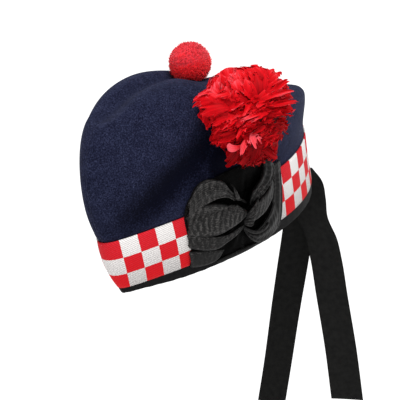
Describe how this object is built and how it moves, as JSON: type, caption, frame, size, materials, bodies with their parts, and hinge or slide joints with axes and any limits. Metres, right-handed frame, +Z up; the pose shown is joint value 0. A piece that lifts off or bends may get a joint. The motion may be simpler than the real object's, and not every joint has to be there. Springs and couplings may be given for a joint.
{
  "type": "glengarry cap",
  "caption": "Boat-shaped wool cap with a creased crown, a diced band, a pompom, a feather hackle, a gathered silk rosette and hanging back ribbons.",
  "frame": {"origin": "centre of the rim's lower edge, where the head goes in", "axes": "+Z up, -Y the wearer's front, +X the wearer's left; the cap is pitched forward 19.4 degrees as it sits on a head and its ribbons hang straight down"},
  "size_m": [0.1953, 0.3184, 0.3621],
  "materials": {
    "crown": "brushed wool felt",
    "dice_band": "woven wool, red and white checks",
    "rim_binding": "grosgrain, matt",
    "tourie": "wool pile",
    "rosette_ground": "moire silk, soft sheen",
    "rosette_loop_front": "moire silk, soft sheen",
    "rosette_loop_back": "moire silk, soft sheen",
    "rosette_fold_top": "moire silk, soft sheen",
    "rosette_fold_low": "moire silk, soft sheen",
    "rosette_fold_back": "moire silk, soft sheen",
    "rosette_knot": "moire silk, soft sheen",
    "hackle": "dyed feather",
    "ribbon_left": "grosgrain, matt",
    "ribbon_right": "grosgrain, matt"
  },
  "bodies": {
    "root": {"crown": "crown", "dice_band": "dice_band", "rim_binding": "rim_binding", "tourie": "tourie", "rosette_ground": "rosette_ground", "rosette_loop_front": "rosette_loop_front", "rosette_loop_back": "rosette_loop_back", "rosette_fold_top": "rosette_fold_top", "rosette_fold_low": "rosette_fold_low", "rosette_fold_back": "rosette_fold_back", "rosette_knot": "rosette_knot", "hackle": "hackle", "ribbon_left": "ribbon_left", "ribbon_right": "ribbon_right"}
  },
  "joints": []
}
